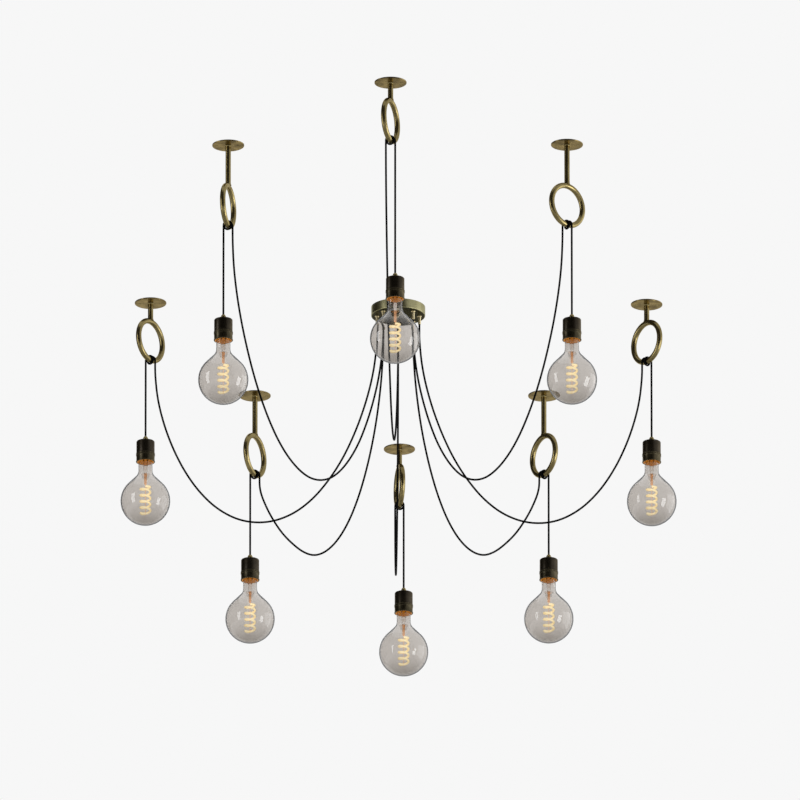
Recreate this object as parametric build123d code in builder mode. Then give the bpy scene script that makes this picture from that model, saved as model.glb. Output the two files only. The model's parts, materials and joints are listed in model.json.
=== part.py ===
from build123d import *
import os
from math import cos, pi, radians, sin, sqrt, tan

os.makedirs("parts", exist_ok=True)

# Spider chandelier: a ceiling canopy sends out eight black cords. Each cord swags to a ring hook
# on the ceiling, winds round the ring and drops to a lampholder with a globe bulb.
# Millimetres, +Z up. The origin is the canopy's centre on the ceiling, and the viewer stands towards -Y.

# Canopy and what holds it
lamp_count = 8
canopy_diameter = 136.5
canopy_height = 23.5
canopy_wall = 1.5
canopy_round = 1.6
mount_plate_inset = 8.25
mount_plate_thickness = 2.0
mount_hole_circle = 84.0
mount_hole_diameter = 5.2
supply_hole_diameter = 16.0
ear_width = 16.0
ear_height = 15.0
ear_gap = 1.1
side_screw_diameter = 4.0
side_screw_head_diameter = 8.0
side_screw_head_height = 2.6
side_screw_gap = 0.2
side_screw_drop = 9.0
side_screw_reach = 3.0

# Cord outlets in the canopy
outlet_inset = 14.75
gland_tube_diameter = 7.4
gland_tube_length = 20.0
gland_flange_diameter = 11.5
gland_flange_height = 2.0
gland_thread_diameter = 8.6
gland_thread_gap = 0.2
gland_thread_length = 6.0
gland_nut_width = 13.0
gland_nut_height = 3.0
gland_end_round = 0.6

# Terminal block inside the canopy
block_width = 38.0
block_height = 9.0
block_foot_height = 4.0
block_foot_diameter = 6.0
block_foot_circle = 24.0
block_screw_circle = 26.0
block_screw_hole_diameter = 4.0
block_screw_hole_depth = 5.0

# Cord, its swags and its windings
cord_diameter = 5.0
cord_gap = 0.3
tail_bend_radius = 7.5
outlet_stub = 45.0
ring_stub = 42.0
wrap_turns = 1.5
wrap_advance = 12.8
wrap_gap = 0.5
pivot_drop = 14.5
pivot_gap = 0.3

# Ring hooks and their ceiling plates
plate_diameter = 80.0
plate_thickness = 3.0
plate_round = 1.2
plate_hole_spacing = 54.0
plate_hole_diameter = 4.6
plate_countersink_diameter = 8.8
short_rod = 41.0
long_rod = 101.0
rod_diameter = 13.4
ring_diameter = 117.0
ring_tube_diameter = 14.0
spigot_diameter = 8.0
spigot_gap = 0.2
spigot_recess = 0.4

# Lampholder
holder_diameter = 46.0
holder_body_height = 33.0
holder_height = 56.0
holder_round = 3.0
holder_top = 2.0
holder_wall = 1.3
holder_thread_step = 1.6
collar_diameter = 48.0
collar_thread_gap = 0.15
collar_bead_height = 2.5
collar_groove_height = 1.4
collar_groove_depth = 1.0
collar_lip_height = 2.4
collar_mouth_diameter = 38.0
grip_diameter = 13.0
grip_height = 12.0
grip_cone_height = 4.5
grip_top_diameter = 8.6
grip_thread_diameter = 9.6
grip_thread_gap = 0.2
core_gap = 0.4
core_wall = 1.6
core_ceiling = 7.5
core_depth = 32.0
screw_shell_wall = 0.4
screw_shell_reach = 2.0
contact_diameter = 8.0
contact_height = 1.0

# Globe bulb
globe_radius = 62.5
globe_drop = 160.0
globe_wall = 0.7
shoulder_angle = 36.0
neck_radius = 17.5
neck_round = 15.0
neck_cone_height = 8.0
neck_cone_round = 4.0
cap_diameter = 26.0
cap_gap = 0.45
cap_height = 27.2
cap_cone_height = 4.5
cap_tip_diameter = 9.0
cap_tip_height = 1.8
contact_gap = 0.3
stem_foot_diameter = 12.0
stem_diameter = 6.6
stem_length = 77.0
support_diameter = 1.8
support_reach = 2.0
filament_diameter = 4.2
filament_coil_diameter = 25.0
filament_turns = 4.5
filament_pitch = 16.4
filament_top = 40.0
filament_lead_turn = 60.0

# Swags, as points between a straight stub at the outlet and one at the ring:
# the share of the way from the outlet to the ring, and the drop below the ceiling.
front_swag = [
    (0.012, 157), (0.035, 217), (0.062, 272), (0.092, 324), (0.125, 371), (0.159, 416), (0.195, 456),
    (0.233, 493), (0.272, 525), (0.313, 554), (0.355, 577), (0.398, 596), (0.441, 610), (0.485, 619),
    (0.529, 622), (0.574, 620), (0.618, 613), (0.662, 600), (0.705, 582), (0.746, 559), (0.787, 531),
    (0.826, 498), (0.864, 460), (0.899, 418), (0.932, 372), (0.962, 320), (0.987, 262),
]
front_corner_swag = [
    (0.011, 157), (0.032, 220), (0.059, 279), (0.090, 336), (0.124, 390), (0.161, 442), (0.201, 489),
    (0.244, 533), (0.290, 573), (0.338, 608), (0.390, 637), (0.443, 659), (0.498, 674), (0.555, 680),
    (0.611, 678), (0.667, 668), (0.721, 649), (0.773, 621), (0.822, 586), (0.866, 545), (0.906, 497),
    (0.942, 444), (0.971, 386), (0.992, 323),
]
side_swag = [
    (0.011, 157), (0.034, 222), (0.067, 287), (0.107, 349), (0.156, 410), (0.217, 467), (0.291, 520),
    (0.383, 562), (0.493, 585), (0.611, 582), (0.717, 552), (0.802, 505), (0.868, 450), (0.920, 390),
    (0.960, 327), (0.988, 262),
]
back_corner_swag = [
    (0.009, 155), (0.029, 220), (0.057, 283), (0.095, 344), (0.143, 402), (0.202, 455), (0.275, 500),
    (0.361, 530), (0.455, 541), (0.552, 532), (0.646, 501), (0.733, 459), (0.812, 415), (0.882, 366),
    (0.944, 315),
]
back_swag = [
    (0.013, 156), (0.044, 216), (0.086, 269), (0.135, 315), (0.190, 354), (0.249, 388), (0.311, 415),
    (0.375, 436), (0.441, 450), (0.508, 458), (0.575, 460), (0.643, 454), (0.709, 442), (0.774, 422),
    (0.836, 395), (0.893, 360), (0.944, 315), (0.983, 261),
]

# Hooks from the front round to the front left: place on the ceiling, rod, turn of the ring's foot
# from the swag's side to the lamp's, hand of the winding, lampholder's drop below the ring's foot, swag.
hooks = [
    (-19, -1624, short_rod, 71, 1, 363, front_swag),
    (421, -1182, long_rod, 42, 1, 252, front_corner_swag),
    (627, -24, short_rod, 309, -1, 215, side_swag),
    (370, 649, long_rod, 304, -1, 229, back_corner_swag),
    (3, 1047, short_rod, 279, -1, 238, back_swag),
    (-364, 649, long_rod, 244, 1, 230, back_corner_swag),
    (-625, -35, short_rod, 235, 1, 218, side_swag),
    (-424, -1177, long_rod, 255, 1, 251, front_corner_swag),
]

cord_radius = cord_diameter / 2
tube_radius = ring_tube_diameter / 2
ring_radius = ring_diameter / 2 - tube_radius
wrap_radius = tube_radius + cord_radius + wrap_gap
mount_plate_diameter = canopy_diameter - 2 * mount_plate_inset
outlet_circle = canopy_diameter - 2 * outlet_inset
outlet_end = canopy_height + gland_flange_height + gland_tube_length
outlet_step = 360 / lamp_count
front = -90
up = Vector(0, 0, 1)


def save(part, name):
    """Label a finished piece and write it to its own file."""
    part.label = name
    export_step(part, f"parts/{name}.step")


def outlet_place(number):
    """Centre of an outlet's lower end."""
    angle = radians(front + outlet_step * (number - 1))
    return Vector(outlet_circle / 2 * cos(angle), outlet_circle / 2 * sin(angle), -outlet_end)


def ring_foot(hook):
    """Centre of the tube at the lowest place of a hook's ring."""
    x, y, rod = hook[:3]
    return Vector(x, y, -plate_thickness - rod - ring_diameter + tube_radius)


def ring_directions(hook):
    """Plan directions at the ring's foot: along the tube to the lamp's side, and across to the swag."""
    turn, hand = hook[3:5]
    along = Vector(cos(radians(turn)), sin(radians(turn)), 0)
    return along, Vector(-hand * along.Y, hand * along.X, 0)


def wrap_point(hook, turns):
    """Point of the winding after a number of turns round the ring's tube."""
    along, across = ring_directions(hook)
    angle = 2 * pi * turns
    travel = wrap_advance * (turns / wrap_turns - 0.5)
    return ring_foot(hook) + along * travel + (across * cos(angle) + up * sin(angle)) * wrap_radius


def wrap_direction(hook, turns):
    """Direction of the winding there, upright where the cord comes on and leaves."""
    along, across = ring_directions(hook)
    angle = 2 * pi * turns
    round_tube = (up * cos(angle) - across * sin(angle)) * wrap_radius
    if turns in (0, wrap_turns):
        return round_tube.normalized()
    return (round_tube + along * (wrap_advance / (2 * pi * wrap_turns))).normalized()


def biarc(start, start_direction, end, end_direction):
    """Two arcs that leave a point and reach another in the given directions."""
    chord = end - start
    bend = 1 - start_direction.dot(end_direction)
    pull = chord.dot(start_direction + end_direction)
    reach = (sqrt(pull**2 + 2 * bend * chord.dot(chord)) - pull) / (2 * bend)
    first = start + start_direction * reach
    last = end - end_direction * reach
    middle = (first + last) * 0.5
    TangentArc(start, middle, tangent=start_direction)
    TangentArc(middle, end, tangent=last - first)


def bend_radii(points):
    """Largest arcs that the runs of a route leave room for, each taking up to a share of a run at either end."""
    run_share = 0.45
    radii = []
    for before, at, after in zip(points, points[1:], points[2:]):
        turn = radians((at - before).get_angle(after - at))
        radii.append(run_share * min((at - before).length, (after - at).length) / tan(turn / 2))
    return radii


def least_gap(wire, diameter, apart):
    """Least room between stretches of a tube that lie further apart along it than a given length."""
    samples = 400
    points = [wire @ (i / samples) for i in range(samples + 1)]
    steps = int(apart / wire.length * samples) + 1
    pairs = ((a, b) for i, a in enumerate(points) for b in points[i + steps :])
    return min((a - b).length for a, b in pairs) - diameter


def lamp_place(hook):
    """Middle of the lampholder's top, straight below the end of the winding."""
    return wrap_point(hook, wrap_turns) - up * hook[5]


def lamp_section(hook):
    """Upright plane through the lamp's axis, with its origin at the lampholder's top."""
    return Plane(origin=lamp_place(hook), x_dir=(1, 0, 0), z_dir=(0, -1, 0))


def lamp_axis(hook):
    return Axis(lamp_place(hook), (0, 0, 1))


# Canopy: a shallow spun drum, open to the ceiling, with a hole for each cord outlet
with BuildPart() as canopy:
    with BuildSketch(Plane.XY.offset(-canopy_height)):
        Circle(canopy_diameter / 2)
    extrude(amount=canopy_height)
    fillet(canopy.edges().group_by(Axis.Z)[0], canopy_round)
    offset(amount=-canopy_wall, openings=canopy.faces().sort_by(Axis.Z)[-1])
    with BuildSketch(Plane.XY.offset(-canopy_height)):
        with PolarLocations(outlet_circle / 2, lamp_count, start_angle=front):
            Circle(gland_thread_diameter / 2 + gland_thread_gap)
    extrude(amount=canopy_wall, mode=Mode.SUBTRACT)
    with BuildSketch(Plane.XZ):
        with Locations((0, -side_screw_drop)):
            Circle(side_screw_diameter / 2 + side_screw_gap)
    extrude(amount=canopy_diameter / 2, both=True, mode=Mode.SUBTRACT)
save(canopy.part, "canopy")

# Mounting plate: a steel disc on the ceiling, with two ears bent down for the canopy's side screws
ear_face = canopy_diameter / 2 - canopy_wall - ear_gap
with BuildPart() as mounting_plate:
    with BuildSketch(Plane.XY.offset(-mount_plate_thickness)):
        Circle(mount_plate_diameter / 2)
        Rectangle(ear_width, 2 * ear_face)
        Circle(supply_hole_diameter / 2, mode=Mode.SUBTRACT)
        hole_start = front + outlet_step / 2
        with PolarLocations(mount_hole_circle / 2, lamp_count // 2, start_angle=hole_start):
            Circle(mount_hole_diameter / 2, mode=Mode.SUBTRACT)
    extrude(amount=mount_plate_thickness)
    with BuildSketch(Plane.XY.offset(-ear_height)):
        with Locations((0, ear_face - mount_plate_thickness / 2), (0, mount_plate_thickness / 2 - ear_face)):
            Rectangle(ear_width, mount_plate_thickness)
    extrude(amount=ear_height - mount_plate_thickness)
    with BuildSketch(Plane.XZ):
        with Locations((0, -side_screw_drop)):
            Circle(side_screw_diameter / 2 + side_screw_gap)
    extrude(amount=canopy_diameter / 2, both=True, mode=Mode.SUBTRACT)
save(mounting_plate.part, "mounting_plate")

# Canopy side screws: domed heads outside the drum, shanks through its wall into the ears
with BuildPart() as side_screws:
    for side in (1, -1):
        outside = Plane(origin=(0, side * canopy_diameter / 2, -side_screw_drop), z_dir=(0, side, 0))
        with BuildSketch(outside):
            Circle(side_screw_head_diameter / 2)
        extrude(amount=side_screw_head_height)
        shank = canopy_wall + ear_gap + mount_plate_thickness + side_screw_reach
        with BuildSketch(outside):
            Circle(side_screw_diameter / 2)
        extrude(amount=-shank)
    fillet(side_screws.edges().filter_by(GeomType.CIRCLE).group_by(Axis.Y)[0], side_screw_head_height / 2)
    fillet(side_screws.edges().filter_by(GeomType.CIRCLE).group_by(Axis.Y)[-1], side_screw_head_height / 2)
save(side_screws.part, "canopy_side_screws")

# Cord glands: a flanged brass tube under the canopy with a threaded neck through its floor
floor_top = canopy_height - canopy_wall
with BuildPart() as glands:
    with BuildSketch(Plane.XY.offset(-outlet_end)):
        with PolarLocations(outlet_circle / 2, lamp_count, start_angle=front):
            Circle(gland_tube_diameter / 2)
    extrude(amount=gland_tube_length)
    fillet(glands.edges().group_by(Axis.Z)[0], gland_end_round)
    with BuildSketch(Plane.XY.offset(-canopy_height - gland_flange_height)):
        with PolarLocations(outlet_circle / 2, lamp_count, start_angle=front):
            Circle(gland_flange_diameter / 2)
    extrude(amount=gland_flange_height)
    with BuildSketch(Plane.XY.offset(-canopy_height)):
        with PolarLocations(outlet_circle / 2, lamp_count, start_angle=front):
            Circle(gland_thread_diameter / 2)
    extrude(amount=gland_thread_length)
    with BuildSketch(Plane.XY.offset(-outlet_end)):
        with PolarLocations(outlet_circle / 2, lamp_count, start_angle=front):
            Circle(cord_radius + cord_gap)
    extrude(amount=outlet_end, mode=Mode.SUBTRACT)
save(glands.part, "cord_glands")

# Gland nuts: hexagon nuts on the glands' necks inside the canopy
with BuildPart() as gland_nuts:
    with BuildSketch(Plane.XY.offset(-floor_top)):
        with PolarLocations(outlet_circle / 2, lamp_count, start_angle=front):
            RegularPolygon(gland_nut_width / 2, 6, major_radius=False)
            Circle(gland_thread_diameter / 2 + gland_thread_gap, mode=Mode.SUBTRACT)
    extrude(amount=gland_nut_height)
save(gland_nuts.part, "gland_nuts")

# Terminal block: an eight-sided ceramic block on two feet, with a face and a screw well for each cord
block_top = mount_plate_thickness + block_foot_height
with BuildPart() as terminal_block:
    with BuildSketch(Plane.XY.offset(-block_top)):
        RegularPolygon(block_width / 2, lamp_count, major_radius=False, rotation=outlet_step / 2)
    extrude(amount=-block_height)
    with BuildSketch(Plane.XY.offset(-block_top)):
        with PolarLocations(block_foot_circle / 2, 2):
            Circle(block_foot_diameter / 2)
    extrude(amount=block_foot_height)
    with BuildSketch(Plane.XY.offset(-block_top - block_height)):
        with PolarLocations(block_screw_circle / 2, lamp_count, start_angle=front):
            Circle(block_screw_hole_diameter / 2)
    extrude(amount=block_screw_hole_depth, mode=Mode.SUBTRACT)
save(terminal_block.part, "terminal_block")

# Cord tails: each cord's end inside the canopy, from its gland over to the terminal block
tail_height = -block_top - block_height / 2
with BuildPart() as cord_tails:
    for number in range(1, lamp_count + 1):
        outlet = outlet_place(number)
        outward = Vector(outlet.X, outlet.Y, 0).normalized()
        with BuildLine(Plane((0, 0, 0), x_dir=outward, z_dir=outward.cross(up))) as tail:
            corner = (outlet_circle / 2, tail_height)
            FilletPolyline(
                (outlet_circle / 2, -outlet_end), corner, (block_width / 2, tail_height), radius=tail_bend_radius
            )
        with BuildSketch(Plane(origin=outlet, z_dir=up)):
            Circle(cord_radius)
        sweep(path=tail.wire())
save(cord_tails.part, "cord_tails")

# Ceiling plates: turned brass discs with two countersunk fixing holes and a tapped middle
with BuildPart() as ceiling_plates:
    with BuildSketch(Plane.XY.offset(-plate_thickness)):
        with Locations(*[hook[:2] for hook in hooks]):
            Circle(plate_diameter / 2)
    extrude(amount=plate_thickness)
    fillet(ceiling_plates.edges().group_by(Axis.Z)[0], plate_round)
    with BuildSketch(Plane.XY.offset(-plate_thickness)):
        with Locations(*[hook[:2] for hook in hooks]):
            Circle(spigot_diameter / 2 + spigot_gap)
    extrude(amount=plate_thickness, mode=Mode.SUBTRACT)
    holes = [
        Plane(origin=(hook[0] + side * plate_hole_spacing / 2, hook[1], -plate_thickness), z_dir=(0, 0, -1))
        for hook in hooks
        for side in (-1, 1)
    ]
    with Locations(*holes):
        CounterSinkHole(plate_hole_diameter / 2, plate_countersink_diameter / 2, depth=plate_thickness)
save(ceiling_plates.part, "ceiling_plates")


def ring_hooks(rod_length):
    """Hooks of one rod length: a rod with a spigot for its plate, brazed to an upright ring."""
    with BuildPart() as made:
        for hook in hooks:
            if hook[2] != rod_length:
                continue
            x, y = hook[:2]
            along, across = ring_directions(hook)
            centre = ring_foot(hook) + up * ring_radius
            with BuildSketch(Plane((x, y, -plate_thickness))):
                Circle(rod_diameter / 2)
            extrude(amount=-rod_length - tube_radius)
            with BuildSketch(Plane((x, y, -plate_thickness))):
                Circle(spigot_diameter / 2)
            extrude(amount=plate_thickness - spigot_recess)
            with Locations(Plane(origin=centre, x_dir=along, z_dir=across)):
                Torus(ring_radius, tube_radius)
    return made.part


save(ring_hooks(short_rod), "short_ring_hooks")
save(ring_hooks(long_rod), "long_ring_hooks")


def swag_points(number, hook):
    """Route from the outlet to the ring: straight down, along the swag, and straight up to the ring."""
    start = outlet_place(number)
    end = wrap_point(hook, 0)
    span = Vector(end.X - start.X, end.Y - start.Y, 0)
    hanging = [Vector(start.X, start.Y, -drop) + span * share for share, drop in hook[6]]
    return [start, start - up * outlet_stub, *hanging, end - up * ring_stub, end]


def swag_cord(number, hook):
    """One unbroken cord: the swag, the winding round the ring and a short end below it."""
    points = swag_points(number, hook)
    radii = bend_radii(points)
    quarters = int(wrap_turns * 4)
    with BuildPart() as made:
        with BuildLine() as route:
            FilletPolyline(*points, radius=radii)
        with BuildLine() as winding:
            for quarter in range(quarters):
                begin, end = quarter / 4, (quarter + 1) / 4
                biarc(
                    wrap_point(hook, begin),
                    wrap_direction(hook, begin),
                    wrap_point(hook, end),
                    wrap_direction(hook, end),
                )
        leaving = wrap_point(hook, wrap_turns)
        with BuildLine() as short_end:
            Line(leaving, leaving - up * (pivot_drop - cord_radius - pivot_gap))
        path = Wire([*route.edges(), *winding.edges(), *short_end.edges()])
        with BuildSketch(Plane(origin=points[0], z_dir=-up)):
            Circle(cord_radius)
        sweep(path=path)
    gap = least_gap(winding.wire(), cord_diameter, pi * wrap_radius)
    share = made.part.volume / (pi * cord_radius**2 * path.length)
    print(
        f"swag_cord_{number}: length {path.length:.0f}, radii {min(radii):.0f} to {max(radii):.0f},",
        f"winding radius {wrap_radius:.2f}, least gap {gap:.2f}, volume share {share:.4f}",
    )
    return made.part


def drop_cord(hook):
    """Straight cord under the ring, round at its top where it swings, down into the lampholder."""
    pivot = wrap_point(hook, wrap_turns) - up * pivot_drop
    foot = lamp_place(hook) - up * holder_top
    length = pivot.Z - foot.Z
    with BuildPart() as made:
        with BuildSketch(Plane(origin=pivot, x_dir=(1, 0, 0), z_dir=(0, -1, 0))):
            with BuildLine():
                Polyline((0, cord_radius), (0, -length), (cord_radius, -length), (cord_radius, 0))
                RadiusArc((cord_radius, 0), (0, cord_radius), -cord_radius)
            make_face()
        revolve(axis=Axis(pivot, (0, 0, 1)))
    return made.part


def lampholder_cup(hook):
    """Turned cup, stepped in at its foot for the collar's thread, with a hole in its top for the grip."""
    outer = holder_diameter / 2
    thread = outer - holder_thread_step
    inner = thread - holder_wall
    hole = grip_thread_diameter / 2 + grip_thread_gap
    foot = holder_height - collar_lip_height
    with BuildPart() as cup:
        with BuildSketch(lamp_section(hook)):
            with BuildLine():
                FilletPolyline((hole, 0), (outer, 0), (outer, -holder_body_height), radius=holder_round)
                Polyline(
                    (outer, -holder_body_height),
                    (thread, -holder_body_height),
                    (thread, -foot),
                    (inner, -foot),
                    (inner, -holder_top),
                    (hole, -holder_top),
                    (hole, 0),
                )
            make_face()
        revolve(axis=lamp_axis(hook))
    return cup.part


def lampholder_collar(hook):
    """Collar screwed up against the cup's step, with two beads at its top and a lip round the mouth."""
    outer = collar_diameter / 2
    groove = outer - collar_groove_depth
    thread = holder_diameter / 2 - holder_thread_step + collar_thread_gap
    lip = holder_height - collar_lip_height
    second_bead = holder_body_height + collar_bead_height + collar_groove_height
    with BuildPart() as collar:
        with BuildSketch(lamp_section(hook)):
            with BuildLine():
                Polyline(
                    (outer, -holder_body_height),
                    (thread, -holder_body_height),
                    (thread, -lip),
                    (collar_mouth_diameter / 2, -lip),
                    (collar_mouth_diameter / 2, -holder_height),
                    (outer, -holder_height),
                    (outer, -lip),
                    (groove, -lip),
                    (groove, -second_bead - collar_bead_height),
                    (outer, -second_bead - collar_bead_height),
                    (outer, -second_bead),
                    (groove, -second_bead),
                    (groove, -holder_body_height - collar_bead_height),
                    (outer, -holder_body_height - collar_bead_height),
                    close=True,
                )
            make_face()
        revolve(axis=lamp_axis(hook))
    return collar.part


def lampholder_grip(hook):
    """Cord grip on the cup's top, threaded through its hole and tapered to the cord."""
    bore = cord_radius + cord_gap
    with BuildPart() as grip:
        with BuildSketch(lamp_section(hook)):
            with BuildLine():
                Polyline(
                    (bore, -holder_top),
                    (grip_thread_diameter / 2, -holder_top),
                    (grip_thread_diameter / 2, 0),
                    (grip_diameter / 2, 0),
                    (grip_diameter / 2, grip_height - grip_cone_height),
                    (grip_top_diameter / 2, grip_height),
                    (bore, grip_height),
                    close=True,
                )
            make_face()
        revolve(axis=lamp_axis(hook))
    return grip.part


def lampholder_core(hook):
    """Porcelain core standing on the collar's lip, with a brass screw shell and a contact for the cap."""
    outer = holder_diameter / 2 - holder_thread_step - holder_wall - core_gap
    skirt = outer - core_wall
    screw_inner = cap_diameter / 2 + cap_gap
    screw_outer = screw_inner + screw_shell_wall
    floor = holder_top + core_depth
    ceiling = holder_top + core_ceiling
    with BuildPart() as core:
        with BuildSketch(lamp_section(hook)):
            with BuildLine():
                Polyline(
                    (0, -holder_top),
                    (outer, -holder_top),
                    (outer, collar_lip_height - holder_height),
                    (skirt, collar_lip_height - holder_height),
                    (skirt, -floor),
                    (screw_outer, -floor),
                    (screw_outer, -floor - screw_shell_reach),
                    (screw_inner, -floor - screw_shell_reach),
                    (screw_inner, -ceiling),
                    (contact_diameter / 2, -ceiling),
                    (contact_diameter / 2, -ceiling - contact_height),
                    (0, -ceiling - contact_height),
                    close=True,
                )
            make_face()
        revolve(axis=lamp_axis(hook))
    return core.part


cap_top = holder_top + core_ceiling + contact_height + contact_gap
cap_foot = cap_top + cap_height


def globe_outline(inset):
    """Half outline of the bulb's glass at a depth inside it: a globe, a cone to the neck, and the cap's seat."""
    neck = neck_radius - inset
    seat = cap_diameter / 2 - inset
    globe = CenterArc((0, -globe_drop), globe_radius - inset, -90, 90 + shoulder_angle)
    shoulder = globe @ 1
    corner = shoulder.Y + (shoulder.X - neck) / tan(radians(shoulder_angle))
    FilletPolyline(
        shoulder,
        (neck, corner),
        (neck, -cap_foot - neck_cone_height),
        (seat, -cap_foot),
        radius=[neck_round + inset, neck_cone_round],
    )
    Polyline((seat, -cap_foot), (0, -cap_foot), globe @ 0)


def bulb_glass(hook):
    """Blown globe with an even wall, open at its neck where the cap closes it."""
    with BuildPart() as glass:
        with BuildSketch(lamp_section(hook)):
            with BuildLine():
                globe_outline(0)
            make_face()
        revolve(axis=lamp_axis(hook))
        with BuildSketch(lamp_section(hook)):
            with BuildLine():
                globe_outline(globe_wall)
            make_face()
        revolve(axis=lamp_axis(hook), mode=Mode.SUBTRACT)
    return glass.part


def bulb_cap(hook):
    """Cap that turns into the lampholder's screw shell, with a contact tip."""
    with BuildPart() as cap:
        with BuildSketch(lamp_section(hook)):
            with BuildLine():
                Polyline(
                    (0, -cap_top),
                    (cap_tip_diameter / 2, -cap_top),
                    (cap_tip_diameter / 2, -cap_top - cap_tip_height),
                    (cap_diameter / 2, -cap_top - cap_tip_height - cap_cone_height),
                    (cap_diameter / 2, -cap_foot),
                    (0, -cap_foot),
                    close=True,
                )
            make_face()
        revolve(axis=lamp_axis(hook))
    return cap.part


def filament_point(hook, turns):
    """Point of the filament's coil after a number of turns from its top."""
    top = lamp_place(hook) + up * (filament_top - globe_drop)
    angle = 2 * pi * turns
    return top + Vector(cos(angle), sin(angle), 0) * (filament_coil_diameter / 2) - up * filament_pitch * turns


def filament_direction(turns):
    """Direction of the coil there."""
    angle = 2 * pi * turns
    around = Vector(-sin(angle), cos(angle), 0) * (pi * filament_coil_diameter)
    return (around - up * filament_pitch).normalized()


def bulb_filament(hook):
    """Glass stem and support wire, with the spiral filament welded to the wire at both its ends."""
    middle = lamp_place(hook)
    stem_foot = cap_foot + stem_length
    wire_foot = globe_drop - filament_top + filament_turns * filament_pitch + filament_diameter / 2 + support_reach
    lead_turn = filament_lead_turn / 360
    steps = int(filament_turns * 4)
    coil = [step * (filament_turns - 2 * lead_turn) / steps + lead_turn for step in range(steps + 1)]
    with BuildPart() as filament:
        with BuildSketch(lamp_section(hook)):
            with BuildLine():
                Polyline(
                    (0, -cap_foot),
                    (stem_foot_diameter / 2, -cap_foot),
                    (stem_diameter / 2, -stem_foot),
                    (support_diameter / 2, -stem_foot),
                    (support_diameter / 2, -wire_foot),
                    (0, -wire_foot),
                    close=True,
                )
            make_face()
        revolve(axis=lamp_axis(hook))
        outward = filament_point(hook, 0) - middle
        outward = Vector(outward.X, outward.Y, 0).normalized()
        first = filament_point(hook, 0) - outward * filament_coil_diameter / 2
        with BuildLine() as winding:
            lead_in = Line(first, first + outward * filament_diameter)
            biarc(lead_in @ 1, outward, filament_point(hook, coil[0]), filament_direction(coil[0]))
            for begin, end in zip(coil, coil[1:]):
                biarc(
                    filament_point(hook, begin),
                    filament_direction(begin),
                    filament_point(hook, end),
                    filament_direction(end),
                )
            inward = filament_point(hook, filament_turns) - middle
            inward = -Vector(inward.X, inward.Y, 0).normalized()
            last = filament_point(hook, filament_turns) + inward * filament_coil_diameter / 2
            biarc(
                filament_point(hook, coil[-1]),
                filament_direction(coil[-1]),
                last - inward * filament_diameter,
                inward,
            )
            Line(last - inward * filament_diameter, last)
        with BuildSketch(Plane(origin=first, z_dir=outward)):
            Circle(filament_diameter / 2)
        sweep(path=winding.wire())
    gap = least_gap(winding.wire(), filament_diameter, pi * filament_coil_diameter / 2)
    return filament.part, gap


for number, hook in enumerate(hooks, start=1):
    save(swag_cord(number, hook), f"swag_cord_{number}")
    save(drop_cord(hook), f"drop_cord_{number}")
    cup, collar, grip = lampholder_cup(hook), lampholder_collar(hook), lampholder_grip(hook)
    save(Compound([cup, collar, grip]), f"lampholder_shell_{number}")
    save(lampholder_core(hook), f"lampholder_core_{number}")
    save(bulb_glass(hook), f"bulb_glass_{number}")
    filament, gap = bulb_filament(hook)
    print(f"bulb_core_{number}: filament's least gap {gap:.2f}")
    save(Compound([bulb_cap(hook), filament]), f"bulb_core_{number}")
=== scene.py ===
import json
import math

import bmesh
import bpy
from mathutils import Matrix, Vector


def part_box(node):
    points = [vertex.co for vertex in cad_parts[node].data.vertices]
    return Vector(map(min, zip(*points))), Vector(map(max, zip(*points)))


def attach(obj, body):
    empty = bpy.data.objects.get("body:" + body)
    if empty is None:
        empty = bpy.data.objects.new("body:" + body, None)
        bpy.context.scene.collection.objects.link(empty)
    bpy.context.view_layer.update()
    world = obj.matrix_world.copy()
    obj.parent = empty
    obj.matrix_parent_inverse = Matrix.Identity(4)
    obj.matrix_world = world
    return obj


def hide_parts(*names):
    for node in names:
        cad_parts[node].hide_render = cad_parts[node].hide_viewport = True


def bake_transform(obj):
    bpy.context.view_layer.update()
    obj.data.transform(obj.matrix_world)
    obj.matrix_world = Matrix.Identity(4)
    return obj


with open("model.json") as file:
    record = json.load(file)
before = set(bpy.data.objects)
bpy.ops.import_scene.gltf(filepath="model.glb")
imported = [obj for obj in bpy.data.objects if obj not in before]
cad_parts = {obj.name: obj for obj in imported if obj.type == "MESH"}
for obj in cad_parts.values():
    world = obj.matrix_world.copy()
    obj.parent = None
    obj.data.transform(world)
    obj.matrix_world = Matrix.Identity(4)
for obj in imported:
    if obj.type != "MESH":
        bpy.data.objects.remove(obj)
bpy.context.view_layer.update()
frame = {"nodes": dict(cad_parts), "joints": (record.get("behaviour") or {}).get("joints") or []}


# Canopy
# A shallow spun drum of olive brass against the ceiling, brushed round its side, with a bare floor
# for the cord outlets that is painted dark as painted shade. Two small screws in its side hold it to
# a hidden steel plate.
scene = bpy.context.scene


def node(tree, kind, inputs=None, **settings):
    """A shader or geometry node with its settings, and its inputs given as values or as sockets to link."""
    made = tree.nodes.new(kind)
    for name, value in settings.items():
        setattr(made, name, value)
    for name, value in (inputs or {}).items():
        if isinstance(value, bpy.types.NodeSocket):
            tree.links.new(value, made.inputs[name])
        else:
            made.inputs[name].default_value = value
    return made


def reckoned(tree, operation, *values):
    """The result of one sum on numbers, each given as a value or as a socket."""
    return node(tree, "ShaderNodeMath", dict(enumerate(values)), operation=operation).outputs[0]


def ranged(tree, value, low, high, start=0.0, end=1.0, **settings):
    """A number that goes from start to end while a socket's value goes from low to high."""
    limits = {"Value": value, "From Min": low, "From Max": high, "To Min": start, "To Max": end}
    return node(tree, "ShaderNodeMapRange", limits, **settings).outputs["Result"]


def blended(tree, share, first, second):
    """A colour that goes from one to another by a share. Each colour is three numbers or a socket."""
    ends = [end if isinstance(end, bpy.types.NodeSocket) else (*end, 1) for end in (first, second)]
    mix = node(tree, "ShaderNodeMix", {"Factor": share, "A": ends[0], "B": ends[1]}, data_type="RGBA")
    return mix.outputs["Result"]


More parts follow.
